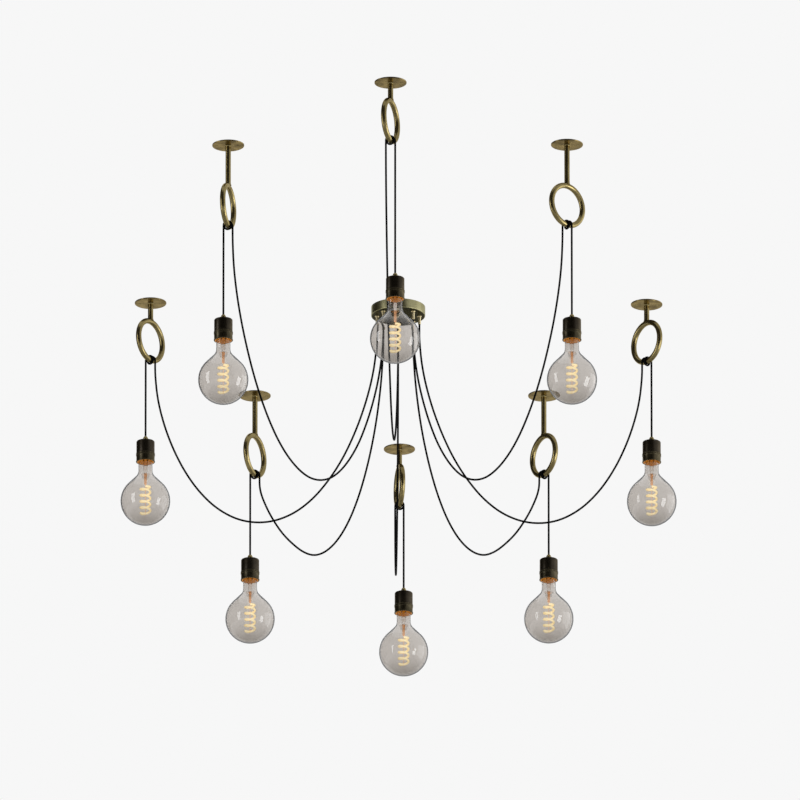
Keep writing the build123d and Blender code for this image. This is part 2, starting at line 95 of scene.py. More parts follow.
def shader_group(name, inputs, outputs):
    """An empty shader node group with named number inputs and outputs."""
    tree = bpy.data.node_groups.new(name, "ShaderNodeTree")
    for label, value in inputs.items():
        tree.interface.new_socket(label, in_out="INPUT", socket_type="NodeSocketFloat").default_value = value
    for label in outputs:
        tree.interface.new_socket(label, in_out="OUTPUT", socket_type="NodeSocketFloat")
    return tree, tree.nodes.new("NodeGroupInput"), tree.nodes.new("NodeGroupOutput")


def patina_group():
    """Uneven ageing of metal: broad clouds, and small dark specks."""
    tree, given, out = shader_group("Patina", {"Cloud size": 0.03, "Speck size": 0.002}, ["Cloud", "Speck"])
    place = node(tree, "ShaderNodeTexCoord").outputs["Object"]
    for label, low, high in (("Cloud", 0.30, 0.70), ("Speck", 0.58, 0.75)):
        scale = reckoned(tree, "DIVIDE", 1.0, given.outputs[f"{label} size"])
        noise = node(tree, "ShaderNodeTexNoise", {"Vector": place, "Scale": scale, "Detail": 4.0})
        tree.links.new(ranged(tree, noise.outputs["Fac"], low, high), out.inputs[label])
    return tree


def brushing_group():
    """Fine lines left along a turned or drawn surface, read across it from the piece's own map."""
    tree, given, out = shader_group("Brushing", {"Line width": 0.0004}, ["Line"])
    waver_scale, waver_lines = 30.0, 6.0
    across = node(tree, "ShaderNodeSeparateXYZ", {0: node(tree, "ShaderNodeUVMap").outputs["UV"]})
    lines = reckoned(tree, "DIVIDE", across.outputs["Y"], given.outputs["Line width"])
    place = node(tree, "ShaderNodeTexCoord").outputs["Object"]
    waver = node(tree, "ShaderNodeTexNoise", {"Vector": place, "Scale": waver_scale})
    shifted = reckoned(tree, "MULTIPLY_ADD", waver.outputs["Fac"], waver_lines, lines)
    grain = {"W": shifted, "Scale": 1.0, "Detail": 3.0}
    noise = node(tree, "ShaderNodeTexNoise", grain, noise_dimensions="1D")
    tree.links.new(noise.outputs["Fac"], out.inputs["Line"])
    return tree


patina = patina_group()
brushing = brushing_group()


def grouped(tree, group, **values):
    """A node group placed in a material, with its own values."""
    made = node(tree, "ShaderNodeGroup", node_tree=group)
    for name, value in values.items():
        made.inputs[name.replace("_", " ").capitalize()].default_value = value
    return made


def new_material(name):
    """A material with its node tree and its main shader."""
    made = bpy.data.materials.new(name)
    made.use_nodes = True
    return made, made.node_tree, made.node_tree.nodes["Principled BSDF"]


def brushed_metal(
    name, dark, light, speck, roughness, line_width=0.0004, depth=0.00001, cloud=0.03, edge=0.85
):
    """Metal with clouded colour, dark specks and brushing lines that also vary its gloss."""
    made, tree, shader = new_material(name)
    speck_share, smoother, rougher = 0.3, roughness - 0.05, roughness + 0.08
    age = grouped(tree, patina, cloud_size=cloud)
    lines = grouped(tree, brushing, line_width=line_width).outputs["Line"]
    clouded = blended(tree, age.outputs["Cloud"], dark, light)
    faint = reckoned(tree, "MULTIPLY", age.outputs["Speck"], speck_share)
    bump = node(tree, "ShaderNodeBump", {"Height": lines, "Distance": depth, "Strength": 0.5})
    tree.links.new(blended(tree, faint, clouded, speck), shader.inputs["Base Color"])
    tree.links.new(ranged(tree, lines, 0.0, 1.0, smoother, rougher), shader.inputs["Roughness"])
    tree.links.new(bump.outputs["Normal"], shader.inputs["Normal"])
    # Seen along its surface, the metal keeps half of its colour and only the edge's share of the light.
    grazing = [edge * (0.5 + 0.5 * channel / max(light)) for channel in light]
    shader.inputs["Specular Tint"].default_value = (*grazing, 1)
    shader.inputs["Metallic"].default_value = 1.0
    shader.inputs["Coat Weight"].default_value = 0.12
    shader.inputs["Coat Roughness"].default_value = 0.2
    return made


def finished(name, mesh, material, body, replaced=()):
    """A piece of the object: smooth but for its sharp edges, on its body and in place of its CAD nodes."""
    sharp_edge = math.radians(38)
    mesh.polygons.foreach_set("use_smooth", [True] * len(mesh.polygons))
    mesh.set_sharp_from_angle(angle=sharp_edge)
    mesh.materials.clear()
    mesh.materials.append(material)
    piece = bpy.data.objects.new(name, mesh)
    scene.collection.objects.link(piece)
    if replaced:
        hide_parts(*replaced)
    if body:
        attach(piece, body)
    return piece


def copied(name):
    """A CAD node's mesh, welded, and mapped by its distance from the canopy's axis and its height."""
    weld = 1e-6
    source = frame["nodes"][name].data
    spots = [vertex.co for vertex in source.vertices]
    mesh = bpy.data.meshes.new(name)
    mesh.from_pydata(spots, [], [face.vertices for face in source.polygons])
    shape = bmesh.new()
    shape.from_mesh(mesh)
    bmesh.ops.remove_doubles(shape, verts=shape.verts, dist=weld)
    chart = shape.loops.layers.uv.new("UVMap")
    for face in shape.faces:
        for loop in face.loops:
            spot = loop.vert.co
            loop[chart].uv = (math.atan2(spot.y, spot.x), spot.xy.length - spot.z)
    shape.to_mesh(mesh)
    shape.free()
    return mesh


pale_brass = brushed_metal(
    "pale olive brass", (0.20, 0.182, 0.092), (0.33, 0.31, 0.175), (0.06, 0.045, 0.02), 0.29, depth=0.00003
)
# Near-black brass for the canopy's floor: painted shade under the drum.
floor_painted_shade = brushed_metal(
    "brass darkened as painted shade", (0.020, 0.019, 0.010), (0.038, 0.035, 0.018), (0.01, 0.01, 0.006), 0.5, edge=0.5
)
drum = finished("canopy_drum", copied("canopy"), pale_brass, "fixed_frame", ["canopy"])
drum.data.materials.append(floor_painted_shade)
canopy_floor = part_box("canopy")[0].z
floor_edge, floor_slack, facing_down = 0.0645, 0.001, -0.9
# The floor's faces inside its edge take the painted shade.
for face in drum.data.polygons:
    at_floor = face.normal.z < facing_down and face.center.z < canopy_floor + floor_slack
    if at_floor and face.center.xy.length < floor_edge:
        face.material_index = 1
side_screws = copied("canopy_side_screws")
finished("canopy_screws", side_screws, pale_brass, "fixed_frame", ["canopy_side_screws"])

# Inside the canopy
# A zinc-plated steel plate with bent ears stays on the ceiling. A glazed terminal block hangs under it,
# and hexagon nuts hold the cord outlets from above.
zinc = brushed_metal("zinc plate", (0.48, 0.48, 0.46), (0.62, 0.62, 0.60), (0.30, 0.29, 0.26), 0.36)
finished("ceiling_bracket", copied("mounting_plate"), zinc, "fixed_frame", ["mounting_plate"])
finished("outlet_nuts", copied("gland_nuts"), zinc, "fixed_frame", ["gland_nuts"])


def glazed_porcelain():
    """Off-white porcelain with faint clouds under a clear glaze."""
    made, tree, shader = new_material("glazed porcelain")
    glossy, dull = 0.18, 0.4
    age = grouped(tree, patina, cloud_size=0.008)
    white = blended(tree, age.outputs["Cloud"], (0.74, 0.71, 0.64), (0.82, 0.80, 0.75))
    tree.links.new(white, shader.inputs["Base Color"])
    tree.links.new(ranged(tree, age.outputs["Speck"], 0.0, 1.0, glossy, dull), shader.inputs["Roughness"])
    shader.inputs["Coat Weight"].default_value = 0.6
    return made


porcelain = glazed_porcelain()
finished("wiring_block", copied("terminal_block"), porcelain, "fixed_frame", ["terminal_block"])

# Cord outlets
# Eight turned brass tubes with a thin flange hang in a circle under the canopy's floor. Their threaded
# necks go through it, and each has a rolled rim where its cord comes out.
bright_brass = brushed_metal("bright brass", (0.62, 0.52, 0.30), (0.76, 0.67, 0.44), (0.28, 0.22, 0.10), 0.28)
lamps = range(1, 9)
outlet_radius = 0.0535
outlet_low, outlet_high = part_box("cord_glands")
outlet_tube, outlet_bore, outlet_neck = 0.0037, 0.0028, 0.0043
flange_radius, flange_foot = 0.00575, canopy_floor - 0.002
rim_top, groove = outlet_low.z + 0.0008, 0.0003
outlet_outline = [
    (outlet_bore, outlet_low.z, 0.0003),
    (outlet_tube, outlet_low.z, 0.0003),
    (outlet_tube, rim_top, 0),
    (outlet_tube - groove, rim_top + groove, 0),
    (outlet_tube, rim_top + 2 * groove, 0),
    (outlet_tube, flange_foot, 0.0004),
    (flange_radius, flange_foot, 0.0006),
    (flange_radius, canopy_floor, 0),
    (outlet_neck, canopy_floor, 0),
    (outlet_neck, outlet_high.z, 0.0003),
    (outlet_bore, outlet_high.z, 0.0002),
]


def rounded(outline, closed):
    """Points of an outline of (radius, height, rounding), with each corner rounded by its own amount."""
    arc_steps = 5
    points = []
    for k, (radius, height, rounding) in enumerate(outline):
        corner = Vector((radius, height))
        if not rounding or (not closed and k in (0, len(outline) - 1)):
            points.append(corner)
            continue
        back = (Vector(outline[k - 1][:2]) - corner).normalized()
        ahead = (Vector(outline[(k + 1) % len(outline)][:2]) - corner).normalized()
        half = back.angle(ahead) / 2
        centre = corner + (back + ahead).normalized() * rounding / math.sin(half)
        first = corner + back * rounding / math.tan(half) - centre
        last = corner + ahead * rounding / math.tan(half) - centre
        for step in range(arc_steps + 1):
            points.append(centre + first.lerp(last, step / arc_steps).normalized() * rounding)
    return points


def turned(outline, place=(0, 0, 0), closed=True, steps=96):
    """A mesh spun round an upright axis from an outline, with a map of the way round and the way along it."""
    on_axis = 1e-6
    points = rounded(outline, closed)
    shape = bmesh.new()
    chart = shape.loops.layers.uv.new("UVMap")
    rings, along = [], [0.0]
    x, y, z = place
    for point in points:
        count = steps if point.x > on_axis else 1
        angles = [2 * math.pi * k / steps for k in range(count)]
        spots = [(x + point.x * math.cos(a), y + point.x * math.sin(a), z + point.y) for a in angles]
        rings.append([shape.verts.new(spot) for spot in spots])
    for first, second in zip(points, points[1:] + points[:1]):
        along.append(along[-1] + (second - first).length)
    for row in range(len(points) if closed else len(points) - 1):
        low, high = rings[row], rings[(row + 1) % len(rings)]
        if len(low) == len(high) == 1:
            continue
        for k in range(steps):
            corners = [(low, k, row), (low, k + 1, row), (high, k + 1, row + 1), (high, k, row + 1)]
            if len(low) == 1:
                corners.pop(1)
            elif len(high) == 1:
                corners.pop(2)
            face = shape.faces.new([ring[step % len(ring)] for ring, step, _ in corners])
            for loop, (_, step, height) in zip(face.loops, corners):
                loop[chart].uv = (step / steps, along[height])
    bmesh.ops.recalc_face_normals(shape, faces=shape.faces)
    mesh = bpy.data.meshes.new("turned")
    shape.to_mesh(mesh)
    shape.free()
    return mesh


def geometry_group(name, inputs, output):
    """An empty geometry tree with named inputs of given kinds, and one output."""
    tree = bpy.data.node_groups.new(name, "GeometryNodeTree")
    for label, kind in inputs.items():
        tree.interface.new_socket(label, in_out="INPUT", socket_type=f"NodeSocket{kind}")
    tree.interface.new_socket(output, in_out="OUTPUT", socket_type="NodeSocketGeometry")
    return tree, tree.nodes.new("NodeGroupInput"), tree.nodes.new("NodeGroupOutput")


def put_out(tree, given, out, geometry):
    """Ends a geometry tree: its copies made real, in its finish."""
    real = node(tree, "GeometryNodeRealizeInstances", {"Geometry": geometry})
    coat = {"Geometry": real.outputs[0], "Material": given.outputs["Finish"]}
    made = node(tree, "GeometryNodeSetMaterial", coat)
    tree.links.new(made.outputs[0], out.inputs[0])


def copies_tree():
    """Copies of one object at each vertex of a mesh, each turned a step further."""
    kinds = {"Places": "Geometry", "Piece": "Object", "Finish": "Material", "Turn step": "Float"}
    tree, given, out = geometry_group("Copies at points", kinds, "Pieces")
    piece = node(tree, "GeometryNodeObjectInfo", {"Object": given.outputs["Piece"]})
    index = node(tree, "GeometryNodeInputIndex")
    turn = reckoned(tree, "MULTIPLY", index.outputs[0], given.outputs["Turn step"])
    spin = node(tree, "ShaderNodeCombineXYZ", {"Z": turn})
    rotation = node(tree, "FunctionNodeEulerToRotation", {0: spin.outputs[0]})
    placed = node(
        tree,
        "GeometryNodeInstanceOnPoints",
        {
            "Points": given.outputs["Places"],
            "Instance": piece.outputs["Geometry"],
            "Rotation": rotation.outputs[0],
        },
    )
    put_out(tree, given, out, placed.outputs["Instances"])
    return tree


copies = copies_tree()


def made_by(tree, source, **inputs):
    """The plain mesh that a geometry tree makes from an object, which is then removed."""
    modifier = source.modifiers.new("made", "NODES")
    modifier.node_group = tree
    for socket in tree.interface.items_tree:
        key = socket.name.lower().replace(" ", "_")
        if socket.in_out == "INPUT" and key in inputs:
            modifier[socket.identifier] = inputs[key]
    bpy.context.view_layer.update()
    mesh = bpy.data.meshes.new_from_object(source.evaluated_get(bpy.context.evaluated_depsgraph_get()))
    source.modifiers.clear()
    bpy.data.objects.remove(source)
    return mesh


def copied_at(places, mesh, finish, turn_step=0.0):
    """One mesh of a small piece repeated at places, each turned a step further."""
    points = bpy.data.meshes.new("places")
    points.from_pydata([tuple(place) for place in places], [], [])
    holder = bpy.data.objects.new("places", points)
    pattern = bpy.data.objects.new("pattern", mesh)
    scene.collection.objects.link(holder)
    scene.collection.objects.link(pattern)
    made = made_by(copies, holder, piece=pattern, finish=finish, turn_step=turn_step)
    bpy.data.objects.remove(pattern)
    return made


def outlet_place(lamp):
    """Where a lamp's outlet is on the canopy, counted round from the front."""
    angle = math.radians(360 / len(lamps) * (lamp - 1) - 90)
    return Vector((outlet_radius * math.cos(angle), outlet_radius * math.sin(angle), 0))


outlet_places = [outlet_place(lamp) for lamp in lamps]
outlet_tubes = copied_at(outlet_places, turned(outlet_outline, steps=40), bright_brass)
finished("cord_outlets", outlet_tubes, bright_brass, "fixed_frame", ["cord_glands"])

# Ceiling plates and their screws
# Each ring hook hangs from a turned olive brass disc with a softened lower edge, fixed to the ceiling by
# two countersunk screws with straight slots.
olive_brass = brushed_metal(
    "olive brass", (0.138, 0.106, 0.041), (0.250, 0.202, 0.087), (0.042, 0.030, 0.012), 0.24
)
mottled_brass = brushed_metal(
    "mottled brass", (0.045, 0.031, 0.011), (0.27, 0.205, 0.085), (0.025, 0.017, 0.007), 0.26, cloud=0.022
)
plate_radius, plate_bore, plate_height = 0.040, 0.0042, 0.003
screw_reach = 0.027
up = Vector((0, 0, 1))
swings = {joint["name"]: joint for joint in frame["joints"]}
pivot_drop, wrap_advance, wrap_radius = 0.0145, 0.0128, 0.010
windings = {lamp: -1 if lamp in (3, 4, 5) else 1 for lamp in lamps}


def ring_foot(lamp):
    """Middle of the tube at a ring's foot, with the directions along the tube and across to the swag."""
    swing = swings[f"swing_{lamp}"]
    along = Vector(swing["axis"])
    across = Vector((-along.y, along.x, 0)) * windings[lamp]
    foot = Vector(swing["pos_m"]) + up * pivot_drop - along * wrap_advance / 2 + across * wrap_radius
    return foot, along, across


plate_places = [Vector((*ring_foot(lamp)[0].xy, 0)) for lamp in lamps]
plate_outline = [
    (plate_bore, -plate_height, 0.0002),
    (plate_radius, -plate_height, 0.0014),
    (plate_radius, 0, 0.0002),
    (plate_bore, 0, 0),
]
plates = copied_at(plate_places, turned(plate_outline), mottled_brass, turn_step=0.7)
finished("hook_plates", plates, mottled_brass, "fixed_frame", ["ceiling_plates"])


def slotted_screw():
    """A countersunk screw's head, a little proud of its plate, with a straight slot cut into it."""
    head, shank, shank_top, proud = 0.0041, 0.0023, -0.0008, 0.0002
    half_slot, slot_depth, straight_down = 0.0005, 0.0009, -0.99
    face = -plate_height - proud
    outline = [(0.0, face, 0), (head, face, 0), (shank, shank_top, 0), (0.0, shank_top, 0)]
    mesh = turned(outline, closed=False, steps=32)
    shape = bmesh.new()
    shape.from_mesh(mesh)
    for side in (-half_slot, half_slot):
        whole = [*shape.verts, *shape.edges, *shape.faces]
        bmesh.ops.bisect_plane(shape, geom=whole, dist=1e-7, plane_co=(0, side, 0), plane_no=(0, 1, 0))
    strip = [
        part
        for part in shape.faces
        if part.normal.z < straight_down and abs(part.calc_center_median().y) < half_slot
    ]
    sunk = bmesh.ops.extrude_face_region(shape, geom=strip)
    bmesh.ops.delete(shape, geom=strip, context="FACES")
    moved = [part for part in sunk["geom"] if isinstance(part, bmesh.types.BMVert)]
    bmesh.ops.translate(shape, verts=moved, vec=(0, 0, slot_depth))
    bmesh.ops.recalc_face_normals(shape, faces=shape.faces)
    shape.to_mesh(mesh)
    shape.free()
    return mesh


screw_places = [place + Vector((side * screw_reach, 0, 0)) for place in plate_places for side in (-1, 1)]
screws = copied_at(screw_places, slotted_screw(), olive_brass, turn_step=1.3)
finished("plate_screws", screws, olive_brass, "fixed_frame")

# Ring hooks
# A drawn brass rod screwed into each plate carries an upright ring of round brass tube, brazed to its end.
# Short and long rods alternate round the canopy.
short_rod, long_rod = 0.041, 0.101
rod_radius, rod_shoulder, rod_flare = 0.0067, 0.0084, 0.0082
ring_radius, ring_tube = 0.0515, 0.007
rods = {lamp: short_rod if lamp % 2 else long_rod for lamp in lamps}


def ring_hook(lamp):
    """Mesh of one hook: the rod, flared where it is brazed, and the ring."""
    foot, along, across = ring_foot(lamp)
    rod_foot = -plate_height - rods[lamp]
    rod_outline = [
        (0.0, -plate_height, 0),
        (rod_shoulder, -plate_height, 0),
        (rod_radius, -plate_height - 0.0016, 0.002),
        (rod_radius, rod_foot + 0.002, 0.004),
        (rod_flare, rod_foot - 0.004, 0),
        (0.0, rod_foot - 0.005, 0),
    ]
    rod = turned(rod_outline, place=(foot.x, foot.y, 0), closed=False, steps=48)
    centre = foot + up * ring_radius
    shape = bmesh.new()
    shape.from_mesh(rod)
    bpy.data.meshes.remove(rod)
    chart = shape.loops.layers.uv.verify()
    around, section = 128, 32
    grid = []
    for i in range(around):
        turn = 2 * math.pi * i / around
        outward = along * math.cos(turn) + up * math.sin(turn)
        row = []
        for j in range(section):
            angle = 2 * math.pi * j / section
            reach = ring_radius + ring_tube * math.cos(angle)
            offset = outward * reach + across * ring_tube * math.sin(angle)
            row.append(shape.verts.new(centre + offset))
        grid.append(row)
    faces = []
    for i in range(around):
        for j in range(section):
            corners = [(i, j), (i + 1, j), (i + 1, j + 1), (i, j + 1)]
            face = shape.faces.new([grid[a % around][b % section] for a, b in corners])
            faces.append(face)
            for loop, (a, b) in zip(face.loops, corners):
                loop[chart].uv = (a / around, 2 * math.pi * ring_tube * b / section)
    bmesh.ops.recalc_face_normals(shape, faces=faces)
    mesh = bpy.data.meshes.new("hook")
    shape.to_mesh(mesh)
    shape.free()
    return mesh


for lamp in lamps:
    hooks = ["short_ring_hooks" if rods[lamp] == short_rod else "long_ring_hooks"]
    finished(f"ring_hook_{lamp}", ring_hook(lamp), olive_brass, "fixed_frame", hooks)

# Swag cords
# Eight black cords in a braided textile sleeve run from the terminal block out of the outlets, hang in a
# long swag to their rings, and go round the ring's tube one and a half times.
cord_diameter = 0.005
block_face, tail_height, tail_bend = 0.019, -0.0105, 0.017
outlet_stub, ring_stub, stub_end = 0.045, 0.042, 0.0028
wrap_turns, wrap_step = 1.5, 15

# Each point is the share of the way from the outlet to the ring, and the drop below the ceiling in metres.
front_swag = [
    (0.012, 0.157), (0.035, 0.217), (0.062, 0.272), (0.092, 0.324), (0.125, 0.371), (0.159, 0.416),
    (0.195, 0.456), (0.233, 0.493), (0.272, 0.525), (0.313, 0.554), (0.355, 0.577), (0.398, 0.596),
    (0.441, 0.610), (0.485, 0.619), (0.529, 0.622), (0.574, 0.620), (0.618, 0.613), (0.662, 0.600),
    (0.705, 0.582), (0.746, 0.559), (0.787, 0.531), (0.826, 0.498), (0.864, 0.460), (0.899, 0.418),
    (0.932, 0.372), (0.962, 0.320), (0.987, 0.262),
]
front_corner_swag = [
    (0.011, 0.157), (0.032, 0.220), (0.059, 0.279), (0.090, 0.336), (0.124, 0.390), (0.161, 0.442),
    (0.201, 0.489), (0.244, 0.533), (0.290, 0.573), (0.338, 0.608), (0.390, 0.637), (0.443, 0.659),
    (0.498, 0.674), (0.555, 0.680), (0.611, 0.678), (0.667, 0.668), (0.721, 0.649), (0.773, 0.621),
    (0.822, 0.586), (0.866, 0.545), (0.906, 0.497), (0.942, 0.444), (0.971, 0.386), (0.992, 0.323),
]
side_swag = [
    (0.011, 0.157), (0.034, 0.222), (0.067, 0.287), (0.107, 0.349), (0.156, 0.410), (0.217, 0.467),
    (0.291, 0.520), (0.383, 0.562), (0.493, 0.585), (0.611, 0.582), (0.717, 0.552), (0.802, 0.505),
    (0.868, 0.450), (0.920, 0.390), (0.960, 0.327), (0.988, 0.262),
]
back_corner_swag = [
    (0.009, 0.155), (0.029, 0.220), (0.057, 0.283), (0.095, 0.344), (0.143, 0.402), (0.202, 0.455),
    (0.275, 0.500), (0.361, 0.530), (0.455, 0.541), (0.552, 0.532), (0.646, 0.501), (0.733, 0.459),
    (0.812, 0.415), (0.882, 0.366), (0.944, 0.315),
]
back_swag = [
    (0.013, 0.156), (0.044, 0.216), (0.086, 0.269), (0.135, 0.315), (0.190, 0.354), (0.249, 0.388),
    (0.311, 0.415), (0.375, 0.436), (0.441, 0.450), (0.508, 0.458), (0.575, 0.460), (0.643, 0.454),
    (0.709, 0.442), (0.774, 0.422), (0.836, 0.395), (0.893, 0.360), (0.944, 0.315), (0.983, 0.261),
]
swags = {
    1: front_swag,
    2: front_corner_swag,
    3: side_swag,
    4: back_corner_swag,
    5: back_swag,
    6: back_corner_swag,
    7: side_swag,
    8: front_corner_swag,
}


def braid_group():
    """A textile sleeve: two families of threads winding opposite ways, one over the other, with painted crown
    sheen.
    """
    threads = 8.0
    tree, given, out = shader_group("Braid", {"Threads": threads, "Lay": 0.012}, ["Thread", "Height"])
    strand = node(tree, "ShaderNodeAttribute", attribute_name="strand")
    part = node(tree, "ShaderNodeSeparateXYZ", {0: strand.outputs["Vector"]})
    angle = reckoned(tree, "ARCTAN2", part.outputs["Y"], part.outputs["X"])
    around = reckoned(tree, "MULTIPLY", angle, given.outputs["Threads"])
    turns = reckoned(tree, "DIVIDE", part.outputs["Z"], given.outputs["Lay"])
    phase = reckoned(tree, "MULTIPLY", turns, 2 * math.pi * threads)
    one, other = [reckoned(tree, "SINE", reckoned(tree, way, phase, around)) for way in ("ADD", "SUBTRACT")]
    crossing = reckoned(tree, "MULTIPLY", one, other)
    tree.links.new(reckoned(tree, "MAXIMUM", one, other), out.inputs["Height"])
    tree.links.new(ranged(tree, crossing, -1.0, 1.0), out.inputs["Thread"])
    return tree


def textile_cord():
    """Black braided cotton, matt, with a painted sheen that makes the thread crowns slightly lighter."""
    made, tree, shader = new_material("black textile cord")
    weave = grouped(tree, braid_group())
    # The crown share lightens the black as painted sheen.
    shade = blended(tree, weave.outputs["Thread"], (0.0015, 0.0015, 0.0015), (0.004, 0.004, 0.004))
    relief = {"Height": weave.outputs["Height"], "Distance": 0.0001, "Strength": 0.4}
    bump = node(tree, "ShaderNodeBump", relief)
    tree.links.new(shade, shader.inputs["Base Color"])
    tree.links.new(bump.outputs["Normal"], shader.inputs["Normal"])
    shader.inputs["Roughness"].default_value = 0.9
    shader.inputs["Specular IOR Level"].default_value = 0.03
    return made


def round_tree():
    """A round tube along a curve, which keeps the way round and the way along as an attribute."""
    kinds = {"Line": "Geometry", "Radius": "Float", "Finish": "Material"}
    tree, given, out = geometry_group("Round along a curve", kinds, "Tube")
    spot = node(tree, "GeometryNodeSplineParameter")
    line = node(tree, "GeometryNodeCaptureAttribute", {"Geometry": given.outputs["Line"]})
    line.capture_items.new("FLOAT", "Length")
    tree.links.new(spot.outputs["Length"], line.inputs["Length"])
    section = {"Resolution": 20, "Radius": given.outputs["Radius"]}
    circle = node(tree, "GeometryNodeCurvePrimitiveCircle", section)
    ring = node(tree, "GeometryNodeCaptureAttribute", {"Geometry": circle.outputs["Curve"]})
    ring.capture_items.new("VECTOR", "Way")
    position = node(tree, "GeometryNodeInputPosition").outputs[0]
    direction = node(tree, "ShaderNodeVectorMath", {0: position}, operation="NORMALIZE")
    tree.links.new(direction.outputs[0], ring.inputs["Way"])
    tube = node(
        tree,
        "GeometryNodeCurveToMesh",
        {"Curve": line.outputs["Geometry"], "Profile Curve": ring.outputs["Geometry"], "Fill Caps": True},
    )
    way = node(tree, "ShaderNodeSeparateXYZ", {0: ring.outputs["Way"]})
    parts = {"X": way.outputs["X"], "Y": way.outputs["Y"], "Z": line.outputs["Length"]}
    strand = node(tree, "ShaderNodeCombineXYZ", parts)
    kept = node(
        tree,
        "GeometryNodeStoreNamedAttribute",
        {"Geometry": tube.outputs[0], "Name": "strand", "Value": strand.outputs[0]},
        data_type="FLOAT_VECTOR",
    )
    put_out(tree, given, out, kept.outputs[0])
    return tree


black_cord = textile_cord()
round_tube = round_tree()


def smooth_tube(points, radius, finish, resolution):
    """Mesh of a tube on one smooth curve with these control points, and the points that it follows."""
    line = bpy.data.curves.new("line", "CURVE")
    line.dimensions = "3D"
    line.resolution_u = resolution
    spline = line.splines.new("NURBS")
    spline.points.add(len(points) - 1)
    for point, place in zip(spline.points, points):
        point.co = (*place, 1)
    spline.order_u = 3
    spline.use_endpoint_u = True
    holder = bpy.data.objects.new("line", line)
    scene.collection.objects.link(holder)
    bpy.context.view_layer.update()
    traced = bpy.data.meshes.new_from_object(holder.evaluated_get(bpy.context.evaluated_depsgraph_get()))
    path = [vertex.co.copy() for vertex in traced.vertices]
    bpy.data.meshes.remove(traced)
    return made_by(round_tube, holder, radius=radius, finish=finish), path


def swag_route(lamp):
    """Control points of a cord: out of the block, down the outlet, along the swag and round the ring."""
    foot, along, across = ring_foot(lamp)
    outlet = outlet_place(lamp)
    outward = outlet.normalized()
    reaches = (block_face, block_face + tail_bend, outlet_radius)
    tail = [outward * reach + up * tail_height for reach in reaches]
    start = outlet + up * outlet_low.z
    straight = [outlet + up * (tail_height - tail_bend), start, start - up * outlet_stub]
    wrap_steps = int(360 * wrap_turns / wrap_step)
    turns = [math.radians(wrap_step * step) for step in range(wrap_steps + 1)]
    winding = [
        foot
        + along * wrap_advance * (turn / turns[-1] - 0.5)
        + (across * math.cos(turn) + up * math.sin(turn)) * wrap_radius
        for turn in turns
    ]
    span = Vector((*(winding[0] - start).xy, 0))
    hanging = [outlet + span * share - up * drop for share, drop in swags[lamp]]
    end = winding[-1] - up * (pivot_drop - stub_end)
    return [*tail, *straight, *hanging, winding[0] - up * ring_stub, *winding, end]


for lamp in lamps:
    route = swag_route(lamp)
    mesh, path = smooth_tube(route, cord_diameter / 2, black_cord, resolution=6)
    stood_for = [f"swag_cord_{lamp}", "cord_tails"]
    cord = finished(f"cord_{lamp}", mesh, black_cord, "fixed_frame", stood_for)

# Drop cords
# The same cords hang straight from their rings to the lampholders.
guide_drops = (0.012, 0.04)
for lamp in lamps:
    pivot = Vector(swings[f"swing_{lamp}"]["pos_m"])
    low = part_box(f"drop_cord_{lamp}")[0].z
    top = pivot + up * stub_end
    route = [top, *[pivot - up * drop for drop in guide_drops], Vector((*pivot.xy, low))]
    mesh, path = smooth_tube(route, cord_diameter / 2, black_cord, resolution=24)
    cord = finished(f"lamp_cord_{lamp}", mesh, black_cord, None, [f"drop_cord_{lamp}"])
    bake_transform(cord)

# Lampholders
# A turned cup in dark patinated bronze, with a collar screwed to its foot: two beads at the collar's top,
# a plain band and a rolled lip at the mouth. A small brass grip on the cup's top holds the cord.
dark_bronze = brushed_metal(
    "dark bronze", (0.020, 0.016, 0.011), (0.036, 0.029, 0.019), (0.008, 0.006, 0.004), 0.40
)
worn_bronze = brushed_metal(
    "worn bronze", (0.036, 0.030, 0.017), (0.068, 0.056, 0.032), (0.012, 0.010, 0.006), 0.34
)
cup_radius, cup_waist, cup_spigot, cup_bore = 0.0230, 0.0226, 0.0214, 0.0201
cup_top_hole, cup_roof, cup_foot = 0.0050, -0.0020, -0.0536
collar_top, collar_foot, collar_seat = -0.0330, -0.0560, 0.02155
bead, bead_groove, band, mouth, lit_edge = 0.0240, 0.0230, 0.0231, 0.0190, 0.0208
lit_below = 0.0535
grip_bore, grip_stem, grip_radius, grip_waist, grip_tip = 0.0028, 0.0048, 0.0065, 0.0058, 0.0043
grip_height = 0.012
cup_outline = [
    (cup_top_hole, 0.0, 0),
    (cup_radius, 0.0, 0.0030),
    (cup_radius, -0.0312, 0.0002),
    (cup_waist, -0.0316, 0),
    (cup_waist, -0.0326, 0),
    (cup_radius, collar_top, 0.0002),
    (cup_spigot, collar_top, 0),
    (cup_spigot, cup_foot, 0),
    (cup_bore, cup_foot, 0),
    (cup_bore, cup_roof, 0),
    (cup_top_hole, cup_roof, 0),
]
collar_outline = [
    (collar_seat, collar_top, 0),
    (bead, collar_top, 0.0011),
    (bead, -0.0355, 0.0011),
    (bead_groove, -0.0357, 0),
    (bead_groove, -0.0367, 0),
    (bead, -0.0369, 0.0011),
    (bead, -0.0394, 0.0011),
    (band, -0.0397, 0.0003),
    (band, -0.0532, 0.0003),
    (bead, cup_foot, 0.0010),
    (bead, collar_foot, 0.0010),
    (lit_edge, collar_foot, 0),
    (mouth, collar_foot, 0.0008),
    (mouth, cup_foot, 0.0004),
    (collar_seat, cup_foot, 0),
]
grip_outline = [
    (grip_bore, cup_roof, 0),
    (grip_stem, cup_roof, 0),
    (grip_stem, 0.0, 0),
    (grip_radius, 0.0, 0.0003),
    (grip_radius, 0.0030, 0.0003),
    (grip_waist, 0.0034, 0),
    (grip_radius, 0.0038, 0.0003),
    (grip_radius, 0.0075, 0.0008),
    (grip_tip, grip_height, 0.0005),
    (grip_bore, grip_height, 0.0003),
]


